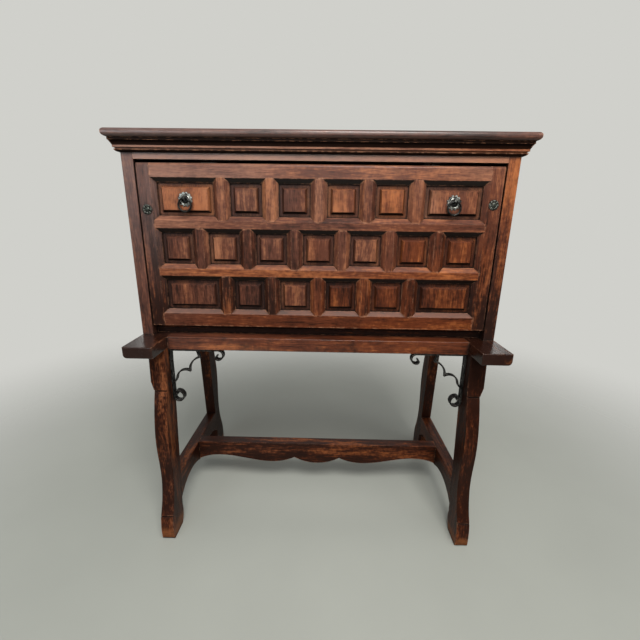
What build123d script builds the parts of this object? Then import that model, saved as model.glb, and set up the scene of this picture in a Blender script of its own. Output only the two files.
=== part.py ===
from build123d import *
import os
from math import atan2, degrees

os.makedirs("parts", exist_ok=True)

# Fall-front writing cabinet on a trestle stand.  Millimetres, +Z up, front towards -Y.
# Origin: on the floor, in the middle of the four feet.

# ---- Stand: two arms on sabre legs, joined by rails and stretchers
stand_height = 660.0  # floor to the top of the arms
arm_length = 566.0
arm_width = 83.0
arm_overhang = 3.0  # outside the carcass
arm_thickness = 33.0
arm_outer_round = 11.0  # long lower edge on the outside
arm_edge_round = 2.0
rail_height = 40.0
rail_thickness = 54.0
rail_projection = 17.0  # the front rail stands this far in front of the carcass
rail_edge_round = 2.0
rail_tenon_gap = 1.0  # between the tenons of rail and leg inside the arm
rail_tenon_height = 16.0
rail_tenon_shoulder = 10.0

# Sabre leg.  Insets are measured back from the end of the arm, heights from the floor,
# drops from the top of the leg.
leg_thickness = 39.0
leg_cheek = 10.0  # the block under the arm is this much thicker on its outer side
block_drop = 98.0
block_taper_drop = 126.0
block_top_inset = 70.5
block_bottom_inset = 65.5
block_foot_inset = 61.0
quirk_depth = 4.0
quirk_width = 5.0
knee_shoulder_height = 442.0
knee_shoulder_inset = 46.0
knee_height = 325.0
knee_inset = 32.0
waist_height = 205.0
waist_inset = 39.0
instep_height = 149.0
instep_inset = 31.0
foot_height = 84.0
foot_inset = 8.0
toe_notch = 5.0
toe_inset = 2.0
toe_lean = 1.0
toe_round = 10.0
sole_front_inset = 10.0
sole_back_inset = 68.0
heel_height = 60.0
heel_inset = 83.0
heel_tuck = 5.0
leg_back_top_inset = 132.0
leg_edge_round = 2.0
leg_tenon_width = 20.0
leg_tenon_depth = 36.0
leg_tenon_height = 22.0

stretcher_top = 185.0
side_stretcher_end_height = 94.0
side_stretcher_arch_height = 128.0
side_stretcher_arch_y = 115.0
side_stretcher_block_height = 107.0
stretcher_tenon_length = 20.0
stretcher_tenon_thickness = 16.0
stretcher_tenon_height = 50.0
centre_stretcher_width = 40.0
centre_tenon_height = 36.0
centre_end_height = 112.0
centre_arch_height = 129.0
centre_arch_x = 347.0
centre_lobe_height = 106.0
centre_lobe_x = 203.0
centre_cusp_height = 125.5
centre_cusp_x = 86.0
centre_drop_height = 102.0

# Forged brackets between the front legs and the front rail
strap_width = 18.0
strap_thickness = 4.5
strap_inset = 2.0  # behind the face of the rail
strap_run = 150.0  # along the rail, from the leg to its scroll
strap_drop = 158.0  # down the leg, from the rail to its scroll
leg_scroll_radii = (15.0, 16.0, 18.0, 7.0, 5.0)
rail_scroll_radii = (15.0, 16.0, 7.0, 5.0)
brace_width = 12.0
brace_foot_drop = 115.0
brace_cusp_drop = 71.0
brace_cusp_run = 58.0
brace_head_drop = 26.0
brace_head_run = 91.0
brace_lean = 7.0
screw_head_radius = 5.0
screw_head_height = 2.5
screw_radius = 2.0
screw_length = 20.0
strap_screw_drops = (40.0, 85.0)
strap_screw_runs = (32.0, 120.0)

# ---- Carcass
carcass_width = 1064.0
carcass_depth = 380.0
carcass_height = 545.0  # arms to the underside of the top board
carcass_setback = 113.0  # behind the front ends of the arms
side_thickness = 32.0
side_edge_round = 2.0
back_thickness = 10.0
back_rebate = 10.0
top_thickness = 20.0
top_overhang = 30.0
top_edge_round = 9.0
top_rail_height = 50.0
top_rail_thickness = 22.0
cornice_height = 33.0
cornice_bead = 11.0  # projections of bead, fillet and lip from the carcass
cornice_fillet = 12.5
cornice_projection = 20.0
cornice_bead_height = 5.5
cornice_quirk_height = 4.0
cornice_quirk_depth = 2.5
cornice_fillet_height = 5.0
cornice_lip_height = 7.0
stop_size = 12.0
stop_end_gap = 9.0
door_stop_play = 0.3

# ---- Fall front: a mitred frame-and-panel lattice
door_thickness = 30.0
door_recess = 1.0
door_side_gap = 3.0
door_top_gap = 7.0
door_top_round = 8.0
door_side_round = 3.0
stile_width = 36.5
door_top_rail = 37.5
door_bottom_rail = 37.8
muntin_face = 21.0
bevel_width = 12.5
bevel_depth = 10.0
panel_setback = 15.0  # door face to the flat of the panel
tongue_thickness = 8.0
tongue_length = 6.0
groove_slack = 1.0
groove_play = 0.3
panel_margin = 9.5
panel_rise = 9.0
panel_slope = 6.0  # from the foot of the raised field to its arris
tenon_shoulder = 3.0
tenon_thickness = 8.0
tenon_setback = 20.5  # door face to the front of the tenons
rail_tongue = 18.0
muntin_tongue = 8.0
tenon_play = 0.5
columns = 7

# ---- Ironwork of the fall front
pull_plate_radius = 20.0
pull_plate_thickness = 2.5
plate_scallop_radius = 3.0
plate_scallops = 12
eye_hole_radius = 3.1
eye_rod = 2.2
eye_thickness = 3.2
eye_stand_off = 5.5
staple_shank_radius = 2.5
staple_leg_span = 20.0
ring_radius = 17.5
ring_rod_radius = 2.5
pull_drop = 2.5  # the eye sits this much above the middle of the plate
stud_radius = 13.0
stud_rise = 4.5
stud_shank_radius = 2.0
stud_shank_length = 16.0
stud_inset = 21.0  # from the outer edge of the stile
stud_left_drop = 122.0  # below the top of the door
stud_right_drop = 99.0
fit_play = 0.1

hinge_spacing = 620.0
hinge_length = 60.0
hinge_leaf_width = 28.0
hinge_leaf_thickness = 1.8
hinge_knuckle_radius = 3.5
hinge_pin_radius = 1.5
hinge_running_play = 0.05
hinge_knuckle_gap = 0.2
hinge_gap = 1.5  # between the fall front and the edge of the bottom board
hinge_screw_head = 3.4
hinge_screw_radius = 1.7
hinge_screw_length = 14.0
hinge_screw_pitch = 20.0
leaf_screw_inset = 17.0  # from the axis of the hinge
rest_clearance = 0.2  # open fall front above the arms

catch_spacing = 600.0
catch_plate_length = 44.0
catch_plate_width = 12.0
catch_plate_thickness = 2.0
catch_barrel_radius = 4.5
catch_barrel_length = 20.0
catch_ball_radius = 4.0
strike_length = 40.0
strike_thickness = 1.5
strike_pin_radius = 2.0
strike_pin_length = 10.0
catch_play = 0.3
catch_inset = 15.0  # behind the face of the carcass

# ---- Interior: a low gallery with two drawers
writing_depth = 180.0  # from the front of the carcass to the gallery
gallery_height = 100.0
shelf_thickness = 12.0
divider_thickness = 12.0
centre_bay_width = 318.0
drawer_front_thickness = 14.0
drawer_wall = 9.0
drawer_bottom_thickness = 6.0
drawer_side_play = 1.0
drawer_top_play = 2.5
drawer_running_gap = 0.3
drawer_back_gap = 6.0
drawer_side_drop = 14.0
drawer_chamfer = 2.0
knob_radius = 10.0
knob_length = 16.0
knob_neck_radius = 5.0

# ---- Places worked out from the sizes above
arm_underside = stand_height - arm_thickness
arm_end = arm_length / 2
side_outer = carcass_width / 2
side_inner = side_outer - side_thickness
arm_outer = side_outer + arm_overhang
leg_inner = arm_outer - arm_width
carcass_front = carcass_setback - arm_end
carcass_back = carcass_front + carcass_depth
carcass_top = stand_height + carcass_height
rail_front = carcass_front - rail_projection
rail_y = rail_front + rail_thickness / 2
rail_underside = stand_height - rail_height
rail_tenon_z = arm_underside + arm_thickness / 2

door_face_y = carcass_front + door_recess
hinge_y = door_face_y + door_thickness
hinge_z = stand_height + door_thickness + rest_clearance
board_front = hinge_y + hinge_gap
door_bottom = hinge_z + hinge_gap
door_top = carcass_top - top_rail_height - door_top_gap
door_height = door_top - door_bottom
door_middle = (door_top + door_bottom) / 2
door_half = side_inner - door_side_gap
lattice_half = door_half - stile_width
opening_width = (2 * lattice_half - (columns - 1) * muntin_face) / columns
opening_height = (door_height - door_top_rail - door_bottom_rail - 2 * muntin_face) / 3
wide_opening = 1.5 * opening_width + 0.5 * muntin_face
column_pitch = opening_width + muntin_face
row_pitch = opening_height + muntin_face
bottom_row = door_bottom + door_bottom_rail + opening_height / 2
middle_row = bottom_row + row_pitch
top_row = middle_row + row_pitch
wide_x = lattice_half - wide_opening / 2
pull_z = top_row + pull_drop

door_face = Plane.XZ.offset(-door_face_y)  # sketches read X across and Z up, normal to the front
bevel_angle = degrees(atan2(bevel_width, bevel_depth))
panel_angle = degrees(atan2(panel_slope, panel_rise))

even_openings = [(i * column_pitch, opening_width) for i in range(-3, 4)]
split_openings = [(i * column_pitch, opening_width) for i in (-1.5, -0.5, 0.5, 1.5)]
split_openings += [(-wide_x, wide_opening), (wide_x, wide_opening)]
even_muntins = [i * column_pitch for i in (-2.5, -1.5, -0.5, 0.5, 1.5, 2.5)]
split_muntins = [i * column_pitch for i in (-2, -1, 0, 1, 2)]


def keep(piece, name):
    """Name a finished piece and write it to a file of its own."""
    piece.part.label = name
    export_step(piece.part, f"parts/{name}.step")


def twin(piece, about=Plane.YZ):
    """The same piece on the other side of a plane of symmetry."""
    with BuildPart() as other:
        mirror(piece.part, about=about)
    return other


# ---- Arms
leg_x = leg_inner + leg_thickness / 2
leg_tenon_x = leg_inner + (leg_thickness + leg_cheek) / 2
leg_tenon_y = -(arm_end - (block_top_inset + leg_back_top_inset) / 2)
rail_tenon_length = leg_tenon_x - leg_tenon_width / 2 - rail_tenon_gap - leg_inner

with BuildPart() as arm_right:
    with BuildSketch(Plane.XZ.offset(arm_end)):
        with Locations((arm_outer - arm_width / 2, stand_height - arm_thickness / 2)):
            section = Rectangle(arm_width, arm_thickness)
        lower, upper = section.vertices().group_by(Axis.Y)
        fillet(lower.sort_by(Axis.X)[-1], arm_outer_round)
        fillet(upper, arm_edge_round)
    extrude(amount=-arm_length)
    ends = arm_right.faces().filter_by(Axis.Y).sort_by(Axis.Y)
    fillet(ends[0].edges() + ends[-1].edges(), arm_edge_round)
    for y in (leg_tenon_y, -leg_tenon_y):
        with Locations((leg_tenon_x, y, arm_underside)):
            Box(leg_tenon_width, leg_tenon_depth, 2 * leg_tenon_height, mode=Mode.SUBTRACT)
    for y in (rail_y, -rail_y):
        with Locations((leg_inner, y, rail_tenon_z)):
            Box(
                2 * rail_tenon_length,
                rail_thickness - 2 * rail_tenon_shoulder,
                rail_tenon_height,
                mode=Mode.SUBTRACT,
            )
keep(arm_right, "arm_right")
keep(twin(arm_right), "arm_left")

# ---- Legs: side outline and front outline of the right front leg, one cut by the other
leg_side_view = Plane(origin=(leg_inner, 0, 0), x_dir=(0, -1, 0), z_dir=(-1, 0, 0))
leg_foot_x = leg_inner + leg_thickness
leg_block_x = leg_foot_x + leg_cheek
block_bottom = arm_underside - block_drop
quirk_top = arm_underside - block_taper_drop
leg_back_top = (arm_end - leg_back_top_inset, arm_underside)
heel_top = (arm_end - heel_inset, heel_height)


def leg_back_y(height):
    """Distance of the leg's straight back edge from the middle of the stand."""
    share = (height - heel_top[1]) / (leg_back_top[1] - heel_top[1])
    return heel_top[0] + share * (leg_back_top[0] - heel_top[0])


with BuildPart() as sabre_leg:
    with BuildSketch(leg_side_view):
        with BuildLine():
            quirk_x = arm_end - block_foot_inset
            block = Polyline(
                leg_back_top,
                (arm_end - block_top_inset, arm_underside),
                (arm_end - block_bottom_inset, block_bottom),
                (quirk_x, quirk_top),
                (quirk_x - quirk_depth, quirk_top - quirk_width / 2),
                (quirk_x, quirk_top - quirk_width),
            )
            sabre = Spline(
                block @ 1,
                (arm_end - knee_shoulder_inset, knee_shoulder_height),
                (arm_end - knee_inset, knee_height),
                (arm_end - waist_inset, waist_height),
                (arm_end - instep_inset, instep_height),
                (arm_end - foot_inset, foot_height + toe_notch / 2),
            )
            notch = Polyline(
                sabre @ 1,
                (arm_end - foot_inset - toe_notch, foot_height),
                (arm_end - foot_inset, foot_height - toe_notch / 2),
            )
            toe = ThreePointArc(
                notch @ 1,
                (arm_end - toe_inset, foot_height / 2),
                (arm_end - toe_inset - toe_lean, toe_round),
            )
            toe_tip = ThreePointArc(
                toe @ 1,
                (arm_end - toe_inset - 0.3 * toe_round, 0.3 * toe_round),
                (arm_end - toe_inset - toe_round, 0),
            )
            sole = Line(toe_tip @ 1, (arm_end - sole_back_inset, 0))
            heel = ThreePointArc(
                sole @ 1,
                (arm_end - heel_inset + heel_tuck, 0.28 * heel_height),
                heel_top,
            )
            Line(heel @ 1, leg_back_top)
        make_face()
    extrude(amount=leg_inner - leg_block_x)
    with BuildSketch(Plane.XZ):
        with BuildLine():
            Polyline(
                (leg_inner, 0),
                (leg_foot_x, 0),
                (leg_foot_x, quirk_top),
                (leg_block_x, block_bottom),
                (leg_block_x, arm_underside),
                (leg_inner, arm_underside),
                close=True,
            )
        make_face()
    extrude(amount=arm_length, mode=Mode.INTERSECT)
    fillet(sabre_leg.edges().filter_by(GeomType.BSPLINE), leg_edge_round)
    straight_edges = sabre_leg.edges().filter_by(GeomType.LINE).sort_by(SortBy.LENGTH)
    fillet(straight_edges[-5:], leg_edge_round)
    with Locations((leg_tenon_x, leg_tenon_y, arm_underside + (leg_tenon_height - tenon_play) / 2)):
        Box(leg_tenon_width, leg_tenon_depth, leg_tenon_height - tenon_play)
    tenon_z = stretcher_top - stretcher_tenon_height
    with Locations((leg_x, -leg_back_y(tenon_z), tenon_z)):
        Box(
            stretcher_tenon_thickness,
            2 * stretcher_tenon_length,
            stretcher_tenon_height,
            mode=Mode.SUBTRACT,
        )
leg_rear_right = twin(sabre_leg, Plane.XZ)
keep(leg_rear_right, "leg_rear_right")
keep(twin(leg_rear_right), "leg_rear_left")

# ---- Rails between the arms
rail_tenon_width = rail_thickness - 2 * rail_tenon_shoulder

with BuildPart() as front_rail:
    with Locations((0, rail_y, stand_height - rail_height / 2)):
        Box(2 * leg_inner, rail_thickness, rail_height)
    fillet(front_rail.edges().filter_by(Axis.X), rail_edge_round)
    for x in (-leg_inner, leg_inner):
        with Locations((x, rail_y, rail_tenon_z)):
            Box(2 * (rail_tenon_length - tenon_play), rail_tenon_width, rail_tenon_height)

# ---- Stretchers
with BuildPart() as side_stretcher_right:
    with BuildSketch(leg_side_view):
        with BuildLine():
            end_y = leg_back_y(side_stretcher_end_height)
            block_y = centre_stretcher_width / 2
            for side in (1, -1):
                top = (side * leg_back_y(stretcher_top), stretcher_top)
                low = (side * end_y, side_stretcher_end_height)
                arch = (side * side_stretcher_arch_y, side_stretcher_arch_height)
                inner = (side * block_y, side_stretcher_block_height)
                Line((0, stretcher_top), top)
                Line(top, low)
                Spline(low, arch, inner, tangents=((-side, 0.9), (-side, -0.5)))
                Line(inner, (0, side_stretcher_block_height))
        make_face()
    extrude(amount=-leg_thickness)
    fillet(side_stretcher_right.edges().group_by(Axis.Z)[-1].filter_by(Axis.Y), leg_edge_round)
    for y in (-leg_back_y(tenon_z), leg_back_y(tenon_z)):
        with Locations((leg_x, y, tenon_z)):
            Box(
                stretcher_tenon_thickness,
                2 * (stretcher_tenon_length - tenon_play),
                stretcher_tenon_height,
            )
    centre_tenon_z = (stretcher_top + centre_end_height) / 2
    with Locations((leg_inner, 0, centre_tenon_z)):
        Box(
            2 * stretcher_tenon_length,
            stretcher_tenon_thickness,
            centre_tenon_height,
            mode=Mode.SUBTRACT,
        )

with BuildPart() as centre_stretcher:
    with BuildSketch(Plane.XZ):
        with BuildLine():
            Line((-leg_inner, stretcher_top), (leg_inner, stretcher_top))
            for side in (1, -1):
                wave = Spline(
                    (side * leg_inner, centre_end_height),
                    (side * centre_arch_x, centre_arch_height),
                    (side * centre_lobe_x, centre_lobe_height),
                    (side * centre_cusp_x, centre_cusp_height),
                )
                Line((side * leg_inner, stretcher_top), wave @ 0)
            cusp = (centre_cusp_x, centre_cusp_height)
            ThreePointArc(cusp, (0, centre_drop_height), (-centre_cusp_x, centre_cusp_height))
        make_face()
    extrude(amount=centre_stretcher_width / 2, both=True)
    top_edges = centre_stretcher.edges().group_by(Axis.Z)[-1].filter_by(Axis.X)
    fillet(top_edges, leg_edge_round)
    for x in (-leg_inner, leg_inner):
        with Locations((x, 0, centre_tenon_z)):
            Box(
                2 * (stretcher_tenon_length - tenon_play),
                stretcher_tenon_thickness,
                centre_tenon_height,
            )

# ---- Forged brackets: strap with a scroll at each end, and a serpentine brace
strap_y = rail_front + strap_inset + strap_width / 2
strap_x = leg_inner - strap_thickness / 2
strap_z = rail_underside - strap_thickness / 2
screw_face_x = leg_inner - strap_thickness
screw_face_z = rail_underside - strap_thickness
leg_screws = [
    Plane(origin=(screw_face_x, strap_y, rail_underside - drop), z_dir=(-1, 0, 0))
    for drop in strap_screw_drops
]
rail_screws = [
    Plane(origin=(leg_inner - run, strap_y, screw_face_z), z_dir=(0, 0, -1))
    for run in strap_screw_runs
]
left_rail_screws = [
    Plane(origin=(run - leg_inner, strap_y, screw_face_z), z_dir=(0, 0, -1))
    for run in strap_screw_runs
]


def scroll(start, heading, radii, turn):
    """A scroll of quarter turns, each tangent to the one before."""
    for radius in radii:
        quarter = JernArc(start=start, tangent=heading, radius=radius, arc_size=turn)
        start = quarter @ 1
        heading = quarter % 1


with BuildPart() as bracket_right:
    with BuildSketch(Plane.XZ.offset(-strap_y)):
        with BuildLine():
            strap = Polyline(
                (strap_x, rail_underside - strap_drop),
                (strap_x, strap_z),
                (leg_inner - strap_run, strap_z),
            )
            scroll(strap @ 0, (0, -1), leg_scroll_radii, -90)
            scroll(strap @ 1, (-1, 0), rail_scroll_radii, 90)
        trace(line_width=strap_thickness)
    extrude(amount=strap_width / 2, both=True)
    with BuildSketch(Plane.XZ.offset(-strap_y)):
        with BuildLine():
            foot = (strap_x, rail_underside - brace_foot_drop)
            bend = (foot[0] - 2 * brace_lean, foot[1] + 3 * brace_lean)
            cusp = (leg_inner - brace_cusp_run, rail_underside - brace_cusp_drop)
            head = (leg_inner - brace_head_run, rail_underside - brace_head_drop)
            ThreePointArc(foot, (foot[0] - brace_lean, foot[1] + brace_lean), bend)
            ThreePointArc(bend, (bend[0] - brace_lean, cusp[1] - brace_lean), cusp)
            middle = ((cusp[0] + head[0]) / 2 + brace_lean, (cusp[1] + head[1]) / 2 + brace_lean)
            ThreePointArc(cusp, middle, head)
            Line(head, (head[0] + brace_lean, strap_z))
        trace(line_width=strap_thickness)
    extrude(amount=brace_width / 2, both=True)
    with Locations(*leg_screws, *rail_screws):
        Hole(screw_radius + fit_play, depth=2 * strap_thickness)
keep(bracket_right, "bracket_right")
keep(twin(bracket_right), "bracket_left")

with BuildPart() as strap_screw:
    Cylinder(screw_radius, screw_length, align=(Align.CENTER, Align.CENTER, Align.MAX))
    with BuildSketch(Plane.XZ):
        with BuildLine():
            dome = ThreePointArc(
                (0, screw_head_height),
                (0.7 * screw_head_radius, 0.7 * screw_head_height),
                (screw_head_radius, 0),
            )
            Polyline(dome @ 1, (0, 0), dome @ 0)
        make_face()
    revolve(axis=Axis.Z)

with BuildPart() as right_screws:
    with Locations(*leg_screws, *rail_screws):
        add(strap_screw.part)
with BuildPart() as bracket_screws:
    add(right_screws.part)
    mirror(right_screws.part, about=Plane.YZ)
keep(bracket_screws, "bracket_screws")

with BuildPart() as leg_front_right:
    add(sabre_leg.part)
    with Locations(*leg_screws):
        Hole(screw_radius + fit_play, depth=screw_length + tenon_play)
keep(leg_front_right, "leg_front_right")
keep(twin(leg_front_right), "leg_front_left")

rear_rail = twin(front_rail, Plane.XZ)
keep(rear_rail, "rear_rail")
with BuildPart() as drilled_rail:
    add(front_rail.part)
    with Locations(*rail_screws, *left_rail_screws):
        Hole(screw_radius + fit_play, depth=screw_length + tenon_play)
keep(drilled_rail, "front_rail")
keep(side_stretcher_right, "side_stretcher_right")
keep(twin(side_stretcher_right), "side_stretcher_left")
keep(centre_stretcher, "centre_stretcher")

# ---- Carcass
side_x = side_outer - side_thickness / 2
carcass_y = (carcass_front + carcass_back) / 2
front_of_back = carcass_back - back_thickness
wide_back = side_inner + back_rebate

with BuildPart() as side_right:
    with Locations((side_x, carcass_y, stand_height + carcass_height / 2)):
        Box(side_thickness, carcass_depth, carcass_height)
    fillet(side_right.faces().sort_by(Axis.Y)[0].edges().filter_by(Axis.Z), side_edge_round)
    with Locations((side_inner, carcass_back, stand_height + carcass_height / 2)):
        Box(2 * back_rebate, 2 * back_thickness, carcass_height, mode=Mode.SUBTRACT)
keep(side_right, "side_right")
keep(twin(side_right), "side_left")

with BuildPart() as back_panel:
    with Locations((0, carcass_back - back_thickness / 2, stand_height + carcass_height / 2)):
        Box(2 * wide_back, back_thickness, carcass_height)
keep(back_panel, "back_panel")

with BuildPart() as top_rail:
    rail_centre = (0, carcass_front + top_rail_thickness / 2, carcass_top - top_rail_height / 2)
    with Locations(rail_centre):
        Box(2 * side_inner, top_rail_thickness, top_rail_height)
    with Locations((0, 0, carcass_top - top_rail_height)):
        with GridLocations(catch_spacing, 1, 2, 1):
            with Locations((0, carcass_front + catch_inset, 0)):
                Cylinder(
                    catch_barrel_radius + fit_play,
                    2 * (catch_barrel_length + tenon_play),
                    mode=Mode.SUBTRACT,
                )
keep(top_rail, "top_rail")

with BuildPart() as top_board:
    with Locations((0, (carcass_back + carcass_front - top_overhang) / 2, carcass_top)):
        Box(
            carcass_width + 2 * top_overhang,
            carcass_depth + top_overhang,
            top_thickness,
            align=(Align.CENTER, Align.CENTER, Align.MIN),
        )
    back_edges = top_board.faces().sort_by(Axis.Y)[-1].edges()
    rim = top_board.edges().filter_by(Axis.Z, reverse=True) - back_edges
    fillet(rim, top_edge_round)
keep(top_board, "top_board")

# ---- Cornice under the top board, mitred at the front corners
cornice_foot = carcass_top - cornice_height
mitre_right = Plane(origin=(side_outer, carcass_front, 0), z_dir=(1, 1, 0))
mitre_left = Plane(origin=(-side_outer, carcass_front, 0), z_dir=(-1, 1, 0))


def draw_cornice():
    """Outline of the moulding: bead, quirk, fillet, cove and lip.  X outwards, Y up."""
    fillet_foot = cornice_bead_height + cornice_quirk_height
    fillet_top = fillet_foot + cornice_fillet_height
    lip_foot = cornice_height - cornice_lip_height
    bead = ThreePointArc(
        (0, 0),
        (0.76 * cornice_bead, 0.24 * cornice_bead_height),
        (cornice_bead, cornice_bead_height),
    )
    step = Polyline(
        bead @ 1,
        (cornice_bead - cornice_quirk_depth, cornice_bead_height),
        (cornice_bead - cornice_quirk_depth, fillet_foot),
        (cornice_fillet, fillet_foot),
        (cornice_fillet, fillet_top),
    )
    cove = ThreePointArc(
        step @ 1,
        (0.6 * cornice_fillet + 0.4 * cornice_projection, 0.48 * fillet_top + 0.52 * lip_foot),
        (cornice_projection - 1, lip_foot),
    )
    Polyline(
        cove @ 1,
        (cornice_projection, lip_foot),
        (cornice_projection, cornice_height),
        (0, cornice_height),
        (0, 0),
    )


moulding_side_view = Plane(origin=(side_outer, carcass_back, cornice_foot), x_dir=(1, 0, 0), z_dir=(0, -1, 0))
moulding_end_view = Plane(origin=(0, carcass_front, cornice_foot), x_dir=(0, -1, 0), z_dir=(-1, 0, 0))

with BuildPart() as cornice_front:
    with BuildSketch(moulding_end_view):
        with BuildLine():
            draw_cornice()
        make_face()
    extrude(amount=side_outer + cornice_projection, both=True)
    split(bisect_by=mitre_right, keep=Keep.BOTTOM)
    split(bisect_by=mitre_left, keep=Keep.BOTTOM)
keep(cornice_front, "cornice_front")

with BuildPart() as cornice_right:
    with BuildSketch(moulding_side_view):
        with BuildLine():
            draw_cornice()
        make_face()
    extrude(amount=carcass_depth + cornice_projection)
    split(bisect_by=mitre_right, keep=Keep.TOP)
keep(cornice_right, "cornice_right")
keep(twin(cornice_right), "cornice_left")

# ---- Hinges of the fall front: flush leaves, the pin along its lower back corner
knuckle_length = hinge_length / 3
hinge_sink_angle = 2 * degrees(atan2(hinge_screw_head - hinge_screw_radius, hinge_leaf_thickness))
hinge_screws_at = [(i * hinge_screw_pitch, leaf_screw_inset) for i in (-1, 0, 1)]
hinge_at = [(side * hinge_spacing / 2, hinge_y, hinge_z) for side in (-1, 1)]
case_leaf_places = [Plane(origin=place) for place in hinge_at]
door_leaf_places = [Plane(origin=place, x_dir=(-1, 0, 0), z_dir=(0, 1, 0)) for place in hinge_at]
LEAF_ALIGN = (Align.CENTER, Align.MIN, Align.MAX)
SHANK_ALIGN = (Align.CENTER, Align.CENTER, Align.MAX)


def hinge_leaf(knuckles):
    """One leaf, flat behind an axis along X through the origin, with knuckles at the given places."""
    with BuildPart() as leaf:
        Box(hinge_length, hinge_leaf_width, hinge_leaf_thickness, align=LEAF_ALIGN)
        clear_radius = hinge_knuckle_radius + hinge_knuckle_gap
        Cylinder(clear_radius, hinge_length, rotation=(0, 90, 0), mode=Mode.SUBTRACT)
        barrel_length = knuckle_length - hinge_knuckle_gap
        with Locations(*[(x, 0, 0) for x in knuckles]):
            Cylinder(hinge_knuckle_radius, barrel_length, rotation=(0, 90, 0))
            Box(barrel_length, 2 * hinge_knuckle_radius, hinge_leaf_thickness, align=LEAF_ALIGN)
        bore_radius = hinge_pin_radius + hinge_running_play
        Cylinder(bore_radius, hinge_length, rotation=(0, 90, 0), mode=Mode.SUBTRACT)
        with Locations(*hinge_screws_at):
            CounterSinkHole(
                hinge_screw_radius + fit_play,
                hinge_screw_head + fit_play,
                depth=2 * hinge_leaf_thickness,
                counter_sink_angle=hinge_sink_angle,
            )
    return leaf


with BuildPart() as leaf_recess:
    Box(hinge_length, hinge_leaf_width, hinge_leaf_thickness, align=LEAF_ALIGN)
    Cylinder(hinge_knuckle_radius + door_stop_play, hinge_length, rotation=(0, 90, 0))
    with Locations(*hinge_screws_at):
        Cylinder(hinge_screw_radius + fit_play, hinge_screw_length + tenon_play, align=SHANK_ALIGN)

with BuildPart() as hinge_screw:
    Cylinder(hinge_screw_radius, hinge_screw_length, align=SHANK_ALIGN)
    Cone(hinge_screw_radius, hinge_screw_head, hinge_leaf_thickness, align=SHANK_ALIGN)

case_leaf = hinge_leaf((-knuckle_length, knuckle_length))
door_leaf = hinge_leaf((0,))

for leaf, places, name in (
    (case_leaf, case_leaf_places, "case"),
    (door_leaf, door_leaf_places, "door"),
):
    with BuildPart() as hinge_leaves:
        with Locations(*places):
            add(leaf.part)
    keep(hinge_leaves, f"hinge_leaves_{name}")
    with BuildPart() as hinge_screws:
        with Locations(*places):
            with Locations(*hinge_screws_at):
                add(hinge_screw.part)
    keep(hinge_screws, f"hinge_screws_{name}")

with BuildPart() as hinge_pins:
    with Locations(*hinge_at):
        Cylinder(hinge_pin_radius, hinge_length, rotation=(0, 90, 0))
keep(hinge_pins, "hinge_pins")

with BuildPart() as bottom_board:
    with Locations((0, (board_front + front_of_back) / 2, stand_height)):
        Box(
            2 * side_inner,
            front_of_back - board_front,
            hinge_z - stand_height,
            align=(Align.CENTER, Align.CENTER, Align.MIN),
        )
    with Locations(*case_leaf_places):
        add(leaf_recess.part, mode=Mode.SUBTRACT)
keep(bottom_board, "bottom_board")

# ---- Stops that the fall front closes against
with BuildPart() as door_stops:
    stop_length = carcass_height - (hinge_z - stand_height) - top_rail_height - 2 * stop_end_gap
    with Locations((0, hinge_y + door_stop_play + stop_size / 2, door_middle)):
        with GridLocations(2 * side_inner - stop_size, 1, 2, 1):
            Box(stop_size, stop_size, stop_length)
keep(door_stops, "door_stops")

# ---- Fall front.  The frame members carry half of each bevel, mitred where they meet.
panel_groove = groove_slack + tongue_length
groove_width = tongue_thickness + groove_play
tenon_depth = tenon_setback + tenon_thickness / 2  # door face to the middle of the tenons


def row_cutter(row_z, openings):
    """The hollow of one row: bevelled openings and the grooves that hold the panels."""
    with BuildPart() as cutter:
        for x, width in openings:
            sight_width = width - 2 * bevel_width
            sight_height = opening_height - 2 * bevel_width
            with BuildSketch(door_face.offset(-bevel_depth)):
                with Locations((x, row_z)):
                    Rectangle(sight_width, sight_height)
            extrude(amount=bevel_depth, taper=-bevel_angle)
            with BuildSketch(door_face.offset(-panel_setback - groove_width)):
                with Locations((x, row_z)):
                    Rectangle(sight_width + 2 * panel_groove, sight_height + 2 * panel_groove)
            extrude(amount=groove_width)
    return cutter.part


def bevel_tooth(x, z, length, direction):
    """Plan of the bevelled edge that a member reaches into one opening with."""
    with Locations(Location((x, z), direction)):
        Trapezoid(length, bevel_width, 45, align=(Align.CENTER, Align.MIN))


def tongue_box(x, z, length, width, mode, play=0):
    """A tenon, or the mortise for it, lying along X."""
    with Locations((x, door_face_y + tenon_depth, z)):
        Box(length - play, tenon_thickness, width, mode=mode)


rows = (
    (bottom_row, split_openings, split_muntins, "bottom"),
    (middle_row, even_openings, even_muntins, "middle"),
    (top_row, split_openings, split_muntins, "top"),
)
cutters = [row_cutter(z, openings) for z, openings, _, _ in rows]
cross_rails = (
    (door_bottom, door_bottom_rail, "door_bottom_rail"),
    (bottom_row + opening_height / 2, muntin_face, "door_lower_rail"),
    (middle_row + opening_height / 2, muntin_face, "door_upper_rail"),
    (top_row + opening_height / 2, door_top_rail, "door_top_rail"),
)
muntin_tenon = muntin_face - 2 * tenon_shoulder

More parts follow.
